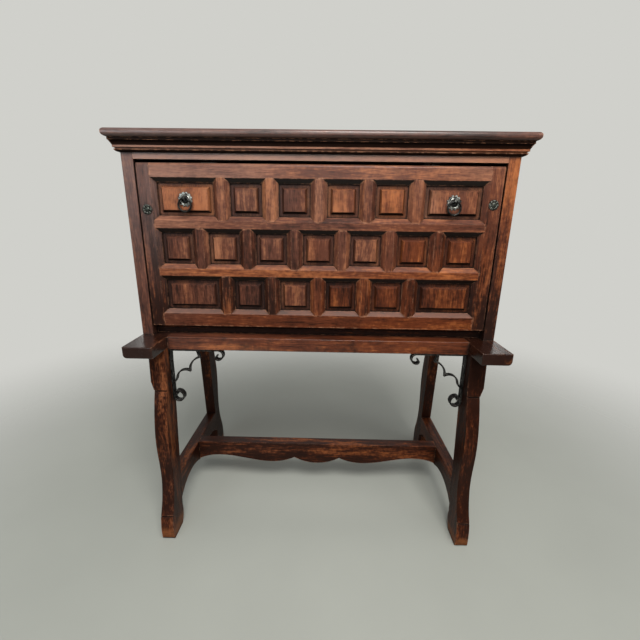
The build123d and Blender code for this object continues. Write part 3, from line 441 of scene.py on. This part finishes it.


# shades are (tone, warmth, wear), from left to right, front to back or bottom to top
# the tones also hold painted light: darker lower down for painted shade, lighter high on the front for
# painted sheen
armWood = {"grain": "Y", "rough": 0.22, "shine": 0.35, "sooty": 0.4}
legWood = {"grain": "Z", "wax": 0.0, "shine": 0.1, "sooty": 0.15}
stretcherWood = {"wax": 0.02, "shine": 0.12}
standLooks = {
    "arm_left": {
        **armWood, "seed": 1.0, "wax": 0.75, "bloomSheen": (0.0, 0.3),
        "shades": [(0.1, 0.7, 0.0), (0.38, 0.8, 0.2), (0.3, 0.5, 0.1)],
    },
    "arm_right": {
        **armWood, "seed": 2.0, "wax": 0.3,
        "shades": [(0.1, 1.0, 0.0), (0.5, 1.0, 0.5), (0.44, 0.9, 0.4)],
    },
    "leg_front_left": {
        **legWood, "seed": 3.0, "scuffTop": 0.05,
        "shades": [(0.34, 1.0, 0.3), (0.22, 0.9, 0.1), (0.26, 1.0, 0.2), (0.2, 0.9, 0.1), (0.3, 1.0, 0.2)],
    },
    "leg_front_right": {
        **legWood, "seed": 4.0, "scuffTop": 0.04,
        "shades": [(0.28, 1.0, 0.15), (0.2, 1.0, 0.05), (0.26, 1.0, 0.15), (0.16, 1.0, 0.05)],
    },
    "leg_rear_left": {
        **legWood, "seed": 5.0, "scuffTop": 0.03,
        "shades": [(0.16, 1.0, 0.05), (0.26, 1.0, 0.2)],
    },
    "leg_rear_right": {
        **legWood, "seed": 6.0, "scuffTop": 0.03,
        "shades": [(0.16, 1.0, 0.05), (0.34, 1.0, 0.25)],
    },
    "front_rail": {
        "seed": 7.0, "sooty": 0.75, "rough": 0.36, "bloomSheen": (0.1, 0.0),
        "shades": [(0.4, 0.9, 0.2), (0.52, 1.0, 0.35), (0.46, 1.0, 0.3), (0.56, 1.0, 0.4), (0.5, 0.9, 0.3)],
    },
    "rear_rail": {"seed": 8.0, "shades": [(0.36, 0.9, 0.2), (0.36, 0.9, 0.2)]},
    "side_stretcher_left": {
        **stretcherWood, "grain": "Y", "seed": 9.0,
        "shades": [(0.16, 0.9, 0.0), (0.2, 0.9, 0.05)],
    },
    "side_stretcher_right": {
        **stretcherWood, "grain": "Y", "seed": 10.0,
        "shades": [(0.26, 0.9, 0.1), (0.36, 0.9, 0.2)],
    },
    "centre_stretcher": {
        **stretcherWood, "seed": 11.0, "rub": 0.8,
        "shades": [(0.26, 0.9, 0.2), (0.3, 1.0, 0.3), (0.3, 1.0, 0.3), (0.32, 1.0, 0.25)],
    },
}
for node, changes in standLooks.items():
    dressWood(node, **changes)
print("stand dressed:", len(standLooks), "pieces")

corniceEaves = 0.0125  # metres
caseLooks = {
    "side_left": {
        "grain": "Z", "seed": 21.0, "bloomSheen": (0.05, 0.25),
        "shades": [(0.34, 0.6, 0.1), (0.38, 0.2, 0.1), (0.46, 0.0, 0.1)],
    },
    "side_right": {
        "grain": "Z", "seed": 22.0,
        "shades": [(0.1, 1.0, 0.0), (0.38, 1.0, 0.25), (0.64, 1.0, 0.5)],
    },
    # its light tones to the right are partly painted sheen
    "top_rail": {
        "seed": 23.0, "wax": 0.4, "bloomSheen": (0.3, 0.1),
        "shades": [(0.76, 0.0, 0.2), (0.82, 0.1, 0.4), (0.74, 0.0, 0.2), (0.94, 0.3, 0.7), (1.0, 0.5, 0.9)],
    },
    "top_board": {
        "seed": 24.0, "bloomSheen": (0.4, 0.1), "rough": 0.34, "wax": 0.5, "rub": 0.8, "under": 0.3,
        "shades": [(0.42, 0.0, 0.1), (0.46, 0.0, 0.15), (0.46, 0.2, 0.2), (0.42, 0.4, 0.2)],
    },
    # its light tones are partly painted light and sheen on the lips of the moulding
    "cornice_front": {
        "seed": 25.0, "bloomSheen": (0.4, 0.0), "wax": 0.0, "shine": 0.04, "under": 0.97, "rub": 0.8,
        "grimeAndShade": 0.3, "seam": 0.5, "eaves": corniceEaves,
        "shades": [(0.84, 0.0, 0.4), (0.8, 0.1, 0.5), (0.8, 0.6, 0.5)],
    },
    "cornice_left": {
        "grain": "Y", "seed": 26.0, "eaves": corniceEaves,
        "shades": [(0.6, 0.1, 0.4), (0.6, 0.1, 0.4)],
    },
    "cornice_right": {
        "grain": "Y", "seed": 27.0, "eaves": corniceEaves,
        "shades": [(0.6, 0.5, 0.4), (0.6, 0.5, 0.4)],
    },
    "drawer_front_left": {"seed": 28.0},
    "drawer_front_right": {"seed": 29.0},
    "drawer_knob_left": {"grain": "Y", "seed": 30.0},
    "drawer_knob_right": {"grain": "Y", "seed": 31.0},
}
for node, changes in caseLooks.items():
    dressWood(node, **changes)
print("case dressed:", len(caseLooks), "pieces")

doorWood = {
    "softEdge": 0.002, "under": 0.98, "sinkShade": (0.003, 0.014, 0.6), "shine": 0.22, "wax": 0.05,
    "edgeReach": 0.0045, "edgeFrom": 0.08, "dust": 0.25, "seamFrom": 0.06,
}
doorLooks = {
    "door_stile_left": {
        "grain": "Z", "seed": 41.0, "bloomSheen": (0.0, 0.3),
        "shades": [(0.12, 0.8, 0.0), (0.28, 0.5, 0.1), (0.38, 0.1, 0.1), (0.58, 0.0, 0.1)],
    },
    "door_stile_right": {
        "grain": "Z", "seed": 42.0,
        "shades": [(0.1, 1.0, 0.0), (0.3, 1.0, 0.1), (0.46, 0.7, 0.2), (0.56, 0.5, 0.2)],
    },
    "door_bottom_rail": {
        "seed": 43.0, "shine": 0.12, "ledgeSheen": 0.25,
        "shades": [(0.46, 0.4, 0.1), (0.5, 0.9, 0.2), (0.48, 1.0, 0.2), (0.52, 1.0, 0.3), (0.52, 1.0, 0.35)],
    },
    "door_lower_rail": {
        "seed": 44.0, "ledgeSheen": 0.08,
        "shades": [
            (0.7, 0.8, 0.5), (0.66, 0.95, 0.5), (0.52, 0.9, 0.3), (0.58, 0.9, 0.4), (0.64, 1.0, 0.55),
        ],
    },
    "door_upper_rail": {
        "seed": 45.0,
        "shades": [(0.76, 0.2, 0.3), (0.6, 0.4, 0.2), (0.34, 0.6, 0.1), (0.56, 0.8, 0.3), (0.5, 0.6, 0.1)],
    },
    # its light, cool tones at the left are partly painted sheen
    "door_top_rail": {
        "seed": 46.0, "bloomSheen": (0.2, 0.0), "wax": 0.25, "rub": 0.9,
        "shades": [(0.82, 0.1, 0.3), (0.8, 0.2, 0.4), (0.56, 1.0, 0.45), (0.58, 0.9, 0.3), (0.72, 0.4, 0.3)],
    },
}
for node, changes in doorLooks.items():
    dressWood(node, **{**doorWood, **changes})

# a row has one shade for each cell: cell 0 begins start metres left of the middle, and first is
# the number of the leftmost cell
cellPitch = 0.13457  # metres from one muntin to the next
onCentre = {"pitch": cellPitch, "start": cellPitch / 2}
offCentre = {"pitch": cellPitch, "start": 0.0}
muntinWood = {
    "grain": "Z", "ledge": 0.2, "sinkShade": (0.003, 0.014, 0.55), "shine": 0.2, "wax": 0.04, "dust": 0.25,
    "edgeReach": 0.0045, "edgeFrom": 0.07, "rub": 0.6, "seamFrom": 0.05, "seam": 1.0,
}
panelWood = {
    "grain": "Z", "softEdge": 0.001, "rub": 0.15, "rim": 0.45, "under": 0.98, "sinkShade": (0.002, 0.008, 0.34),
    "shine": 0.2, "wax": 0.04, "dust": 0.25,
}
rowLooks = {
    "muntins_bottom_row": {
        **muntinWood, **onCentre, "seed": 51.0, "first": -2.0,
        "shades": [
            (0.24, 1.0, 0.1), (0.36, 0.8, 0.1), (0.48, 1.0, 0.25), (0.38, 1.0, 0.15), (0.46, 1.0, 0.1),
        ],
    },
    "muntins_middle_row": {
        **muntinWood, **offCentre, "seed": 52.0, "first": -3.0,
        "shades": [
            (0.4, 0.25, 0.1), (0.36, 0.4, 0.1), (0.44, 0.4, 0.3),
            (0.5, 0.4, 0.2), (0.52, 0.5, 0.25), (0.44, 0.8, 0.15),
        ],
    },
    "muntins_top_row": {
        **muntinWood, **onCentre, "seed": 53.0, "first": -2.0,
        "shades": [
            (0.56, 0.1, 0.3), (0.72, 0.35, 0.6), (0.66, 0.25, 0.4), (0.42, 0.2, 0.2), (0.72, 0.5, 0.5),
        ],
    },
    "panels_bottom_row": {
        **panelWood, **offCentre, "seed": 54.0, "first": -3.0,
        "shades": [
            (0.36, 0.3, 0.15), (0.34, 0.3, 0.0), (0.5, 0.4, 0.35),
            (0.38, 1.0, 0.2), (0.46, 1.0, 0.3), (0.36, 1.0, 0.2),
        ],
    },
    "panels_middle_row": {
        **panelWood, **onCentre, "seed": 55.0, "first": -3.0,
        "shades": [
            (0.42, 0.2, 0.15), (0.46, 0.3, 0.25), (0.5, 0.2, 0.35), (0.54, 0.5, 0.3),
            (0.54, 0.3, 0.4), (0.62, 1.0, 0.4), (0.52, 1.0, 0.3),
        ],
    },
    "panels_top_row": {
        **panelWood, **offCentre, "seed": 56.0, "first": -3.0, "sooty": 0.5,
        "shades": [
            (0.8, 0.7, 0.55), (0.54, 0.2, 0.4), (0.5, 0.4, 0.35),
            (0.72, 0.6, 0.6), (0.74, 0.75, 0.55), (0.62, 0.2, 0.3),
        ],
    },
}
for node, changes in rowLooks.items():
    dressWood(node, **changes)
print("fall front dressed:", len(doorLooks) + len(rowLooks), "nodes")

innerWood = {
    "shades": [(0.6, 0.8, 0.3), (0.62, 0.8, 0.3)],
    "sooty": 0.2, "rough": 0.6, "wax": 0.0, "under": 0.2, "shine": 0.15,
}
innerLooks = {
    # dark tones: painted shade in the recess under the fall front
    "bottom_board": {"seed": 61.0, "shades": [(0.16, 1.0, 0.0), (0.16, 1.0, 0.0)]},
    "back_panel": {"seed": 62.0},
    "door_stops": {"grain": "Z", "seed": 63.0},
    "gallery_shelf": {"seed": 64.0},
    "gallery_divider_left": {"grain": "Z", "seed": 65.0},
    "gallery_divider_right": {"grain": "Z", "seed": 66.0},
    "drawer_box_left": {"grain": "Y", "seed": 67.0},
    "drawer_box_right": {"grain": "Y", "seed": 68.0},
}
for node, changes in innerLooks.items():
    dressWood(node, **{**innerWood, **changes})
print("inside dressed:", len(innerLooks), "pieces")

blackIron = {
    "deep": stain(15, 14, 14), "face": stain(46, 44, 43), "bright": stain(150, 148, 142),
    "rust": stain(62, 38, 26), "rough": 0.42, "hammer": 0.0009, "rub": 0.7, "rustAmount": 0.3,
    "metal": 0.7,
}
wornIron = {  # the pulls, brightened by hands
    "deep": stain(16, 16, 16), "face": stain(44, 45, 43), "bright": stain(168, 170, 163),
    "rust": stain(62, 44, 32), "rough": 0.34, "hammer": 0.0006, "rub": 0.85, "rustAmount": 0.3,
    "metal": 0.75,
}
studIron = {**wornIron, "face": stain(70, 75, 68), "deep": stain(20, 22, 18)}
agedSteel = {
    "deep": stain(48, 44, 40), "face": stain(104, 98, 90), "bright": stain(176, 172, 164),
    "rust": stain(96, 60, 40), "rough": 0.38, "hammer": 0.0003, "rub": 0.6, "rustAmount": 0.5,
    "metal": 0.95,
}
# aged steel darkened as painted shade, for the catches and strikes in the gap above the fall front
shadedSteel = {**agedSteel, "face": stain(52, 49, 46), "bright": stain(96, 92, 86), "rough": 0.5}
forgeLook = {
    "jump": (1.0, 0.6, 1.4),  # metres between one node's marks and the next's, times its seed
    "blotch": (95.0, 4.0, 0.6),  # cycles a metre, detail and roughness
    "grit": (900.0, 2.0, 0.5),
    "rust": (60.0, 5.0, 0.7),
    "dents": {"Scale": 210.0, "Smoothness": 0.7},
    "faceRange": (0.36, 0.64),
    "rustRange": (0.52, 0.7),
    "edgeReach": 0.002,  # metres
    "edgeRange": (0.15, 0.55),
    "edgeBreaks": (0.35, 0.6),
    "cornerReach": 0.006,
    "cornerRange": (0.3, 0.8, 0.0, 0.8),
    "blotchRough": 0.25,
    "smooth": 0.12,  # taken off the look's roughness, about half of what the blotches add
    "rustRough": 0.5,
    "dentHeight": 1.2,
    "gritHeight": 0.15,
    "strength": 0.5,
    "softEdge": 0.0005,
}


def metalFinish(name, look, seed):
    finish, tree = newFinish(name)
    place = put(tree, "TexCoord", {}).outputs["Object"]
    place = move(tree, "ADD", place, [seed * jump for jump in forgeLook["jump"]])
    blotch = mottle(tree, place, *forgeLook["blotch"])
    grit = mottle(tree, place, *forgeLook["grit"])
    dents = {"Vector": place, **forgeLook["dents"]}
    beaten = put(tree, "TexVoronoi", dents, feature="SMOOTH_F1").outputs[0]

    colour = tint(tree, ease(tree, blotch, *forgeLook["faceRange"]), look["deep"], look["face"])
    rusty = mottle(tree, place, *forgeLook["rust"])
    rusty = ease(tree, rusty, *forgeLook["rustRange"], 0.0, look["rustAmount"])
    colour = tint(tree, rusty, colour, look["rust"])
    edge = hollows(tree, forgeLook["edgeReach"], inside=True)
    edge = ease(tree, edge, *forgeLook["edgeRange"], 0.0, look["rub"])
    edge = calc(tree, "MULTIPLY", edge, ease(tree, blotch, *forgeLook["edgeBreaks"]))
    colour = tint(tree, edge, colour, look["bright"])
    corner = ease(tree, hollows(tree, forgeLook["cornerReach"]), *forgeLook["cornerRange"])
    colour = tint(tree, corner, colour, look["deep"])

    smooth = look["rough"] - forgeLook["smooth"]
    rough = calc(tree, "MULTIPLY_ADD", blotch, forgeLook["blotchRough"], smooth)
    rough = calc(tree, "ADD", rough, calc(tree, "MULTIPLY", rusty, forgeLook["rustRough"]))
    grit = calc(tree, "MULTIPLY", grit, forgeLook["gritHeight"])
    height = calc(tree, "ADD", calc(tree, "MULTIPLY", beaten, forgeLook["dentHeight"]), grit)
    skin(tree, height, {**forgeLook, "bump": look["hammer"]}, {
        "Base Color": colour, "Roughness": rough, "Metallic": look["metal"],
    })
    return finish


metalParts = {
    "bracket_left": blackIron, "bracket_right": blackIron, "bracket_screws": blackIron,
    "pull_plate_left": wornIron, "pull_plate_right": wornIron, "staple_left": wornIron,
    "staple_right": wornIron, "ring_left": wornIron, "ring_right": wornIron, "studs": studIron,
    "hinge_leaves_case": agedSteel, "hinge_leaves_door": agedSteel, "hinge_screws_case": agedSteel,
    "hinge_screws_door": agedSteel, "hinge_pins": agedSteel, "catches": shadedSteel, "strikes": shadedSteel,
}
metalStep = 0.37  # from one node's seed to the next's
for count, (node, look) in enumerate(metalParts.items()):
    coat(node, metalFinish("metal_" + node, look, count * metalStep))
print("metal dressed:", len(metalParts), "nodes")

petalLook = {  # metres, and shares where it says so
    "petals": 8,
    "ring": 0.0098,  # from the stud's middle to a petal's
    "reach": 0.0036,  # half a petal's length
    "half": 0.0034,  # half its width
    "rise": 0.0022,
    "seat": 0.0016,  # how far a petal's middle plane stands off the head
    "headRise": 0.0045,  # from the dome's top down to that head
    "taper": 0.34,  # share of the width lost towards the stud's middle
    "vein": 0.4,  # share of the rise lost along the vein
    "veinHalf": 0.22,  # share of the half width
    "pole": 0.02,  # share of the dome left flat at its top and bottom
    "rows": 12,
    "sides": 20,
    "seed": 7.0,
}


def growPetals(look):
    # chased petals, each a dome with a vein down it, narrow towards the middle
    points = []
    faces = []
    for petal in range(look["petals"]):
        turn = math.tau * petal / look["petals"]
        start = len(points)
        for row in range(look["rows"] + 1):
            fall = math.pi * (look["pole"] + (1.0 - 2.0 * look["pole"]) * row / look["rows"])
            for side in range(look["sides"]):
                angle = math.tau * side / look["sides"]
                out = math.sin(fall) * math.cos(angle)
                over = math.sin(fall) * math.sin(angle)
                dent = look["vein"] * math.exp(-((over / look["veinHalf"]) ** 2))
                lift = math.cos(fall) * (1.0 - dent)
                over *= 1.0 - look["taper"] + look["taper"] * out
                radius = look["ring"] + out * look["reach"]
                across = over * look["half"]
                x = radius * math.cos(turn) - across * math.sin(turn)
                z = radius * math.sin(turn) + across * math.cos(turn)
                points.append((x, -look["seat"] - lift * look["rise"], z))
        for row in range(look["rows"]):
            for side in range(look["sides"]):
                near = start + row * look["sides"]
                far = near + look["sides"]
                beside = (side + 1) % look["sides"]
                faces.append((near + side, near + beside, far + beside, far + side))
        faces.append(tuple(start + side for side in reversed(range(look["sides"]))))
        last = start + look["rows"] * look["sides"]
        faces.append(tuple(last + side for side in range(look["sides"])))
    return points, faces


def dressStud(name, side, look):
    corners = [vertex.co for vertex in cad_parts["studs"].data.vertices if vertex.co.x * side > 0]
    middle = [(min(c[axis] for c in corners) + max(c[axis] for c in corners)) / 2 for axis in (0, 2)]
    head = min(corner.y for corner in corners) + look["headRise"]
    points, faces = growPetals(look)
    mesh = bpy.data.meshes.new(name)
    mesh.from_pydata([(x + middle[0], y + head, z + middle[1]) for x, y, z in points], [], faces)
    work = bmesh.new()
    work.from_mesh(mesh)
    bmesh.ops.recalc_face_normals(work, faces=work.faces)
    work.to_mesh(mesh)
    work.free()
    for face in mesh.polygons:
        face.use_smooth = True
    mesh.materials.append(metalFinish("metal_" + name, studIron, look["seed"] + side))
    piece = bpy.data.objects.new(name, mesh)
    scene.collection.objects.link(piece)
    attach(piece, "fall_front")


for name, side in {"stud_petals_left": -1, "stud_petals_right": 1}.items():
    dressStud(name, side, petalLook)
print("studs chased:", petalLook["petals"], "petals each")

floorLook = {
    "half": 14.0,  # metres from the middle to an edge
    "colour": stain(160, 163, 156),
    "rough": 0.65,
    "clouds": (2.0, 4.0, 0.5),  # cycles a metre, detail and roughness
    "cloudRange": (0.3, 0.7, 0.95, 1.0),
    "fade": (0.75, 2.5),  # metres between which it goes over into the room
}


def layFloor(look):
    corners = [(x, y, 0.0) for x, y in ((-1, -1), (1, -1), (1, 1), (-1, 1))]
    mesh = bpy.data.meshes.new("floor")
    mesh.from_pydata([(x * look["half"], y * look["half"], z) for x, y, z in corners], [], [(0, 1, 2, 3)])
    floor = bpy.data.objects.new("floor", mesh)
    scene.collection.objects.link(floor)
    finish, tree = newFinish("floor")
    place = put(tree, "TexCoord", {}).outputs["Object"]
    reach = put(tree, "VectorMath", {0: place}, operation="LENGTH").outputs["Value"]
    shade = ease(tree, mottle(tree, place, *look["clouds"]), *look["cloudRange"])
    colour = tint(tree, 1.0, look["colour"], shade, "MULTIPLY")
    matt = put(tree, "BsdfPrincipled", {"Base Color": colour, "Roughness": look["rough"]}).outputs[0]
    clear = put(tree, "BsdfTransparent", {}).outputs[0]
    mixed = put(tree, "MixShader", {0: ease(tree, reach, *look["fade"]), 1: matt, 2: clear}).outputs[0]
    put(tree, "OutputMaterial", {"Surface": mixed})
    mesh.materials.append(finish)


layFloor(floorLook)


def hang(name, lamp, place, aim):
    holder = bpy.data.objects.new(name, lamp)
    holder.location = place
    holder.rotation_euler = (Vector(aim) - Vector(place)).to_track_quat("-Z", "Y").to_euler()
    holder.visible_camera = False
    scene.collection.objects.link(holder)


skyLook = {
    "place": (0.3, -1.2, 3.0),
    "aim": (0.0, 0.0, 0.0),
    "strength": 0.9,
    "spread": 40.0,  # degrees, for soft shadows
}
sky = bpy.data.lights.new("sky", "SUN")
sky.energy = skyLook["strength"]
sky.angle = math.radians(skyLook["spread"])
hang("sky", sky, skyLook["place"], skyLook["aim"])

boxColours = {"warm": (1.0, 0.97, 0.93), "cool": (0.8, 0.92, 1.0)}
boxLooks = {  # soft boxes: power in watts, size in metres
    "above": {"place": (0.4, -1.75, 2.8), "aim": (0.0, 0.0, 0.9), "power": 66.0, "size": (1.2, 0.9)},
    "front": {"place": (0.1, -3.0, 2.0), "aim": (0.0, -0.2, 1.1), "power": 28.0, "size": (2.6, 0.9)},
    "window": {"place": (-2.0, -2.8, 1.75), "aim": (-0.4, -0.2, 1.1), "power": 16.0, "size": (1.4, 1.0)},
    "right": {"place": (2.6, -1.4, 1.8), "aim": (0.1, 0.0, 0.8), "power": 8.0, "size": (1.2, 1.2)},
    "left": {"place": (-2.6, -1.4, 1.8), "aim": (-0.1, 0.0, 0.7), "power": 4.0, "size": (1.2, 1.2)},
    "behind": {"place": (0.0, 2.6, 1.9), "aim": (0.0, 0.0, 0.7), "power": 18.0, "size": (4.2, 0.9)},
}
for name, look in boxLooks.items():
    lamp = bpy.data.lights.new(name, "AREA")
    lamp.shape = "RECTANGLE"
    lamp.size, lamp.size_y = look["size"]
    lamp.energy = look["power"]
    lamp.color = boxColours["cool" if name == "window" else "warm"]
    hang(name, lamp, look["place"], look["aim"])

roomLook = {"light": stain(228, 228, 224), "strength": 0.14, "seen": stain(208, 208, 203)}
world = bpy.data.worlds.new("room")
world.use_nodes = True
room = world.node_tree
lit = room.nodes["Background"]
lit.inputs["Color"].default_value = roomLook["light"]
lit.inputs["Strength"].default_value = roomLook["strength"]
seen = put(room, "Background", {"Color": roomLook["seen"], "Strength": 1.0}).outputs[0]
direct = put(room, "LightPath", {}).outputs["Is Camera Ray"]
both = put(room, "MixShader", {0: direct, 1: lit.outputs[0], 2: seen}).outputs[0]
room.links.new(both, room.nodes["World Output"].inputs["Surface"])
scene.world = world
scene.view_settings.view_transform = "Standard"

cameraLook = {
    "place": (0.021425, -1.179640, 0.995240),  # metres, a little right of the middle
    "turn": (74.5716, -0.7749, 0.9988),  # degrees: tipped down at the door, with a slight lean
    "lens": 19.706,  # millimetres, as the sensor's width is
    "sensor": 36.0,
    "nearest": 0.05,  # metres
}
camera = bpy.data.objects.new("camera", bpy.data.cameras.new("camera"))
camera.location = cameraLook["place"]
camera.rotation_euler = [math.radians(angle) for angle in cameraLook["turn"]]
camera.data.lens = cameraLook["lens"]
camera.data.sensor_width = cameraLook["sensor"]
camera.data.clip_start = cameraLook["nearest"]
scene.collection.objects.link(camera)
scene.camera = camera
print("floor, lamps and camera set")
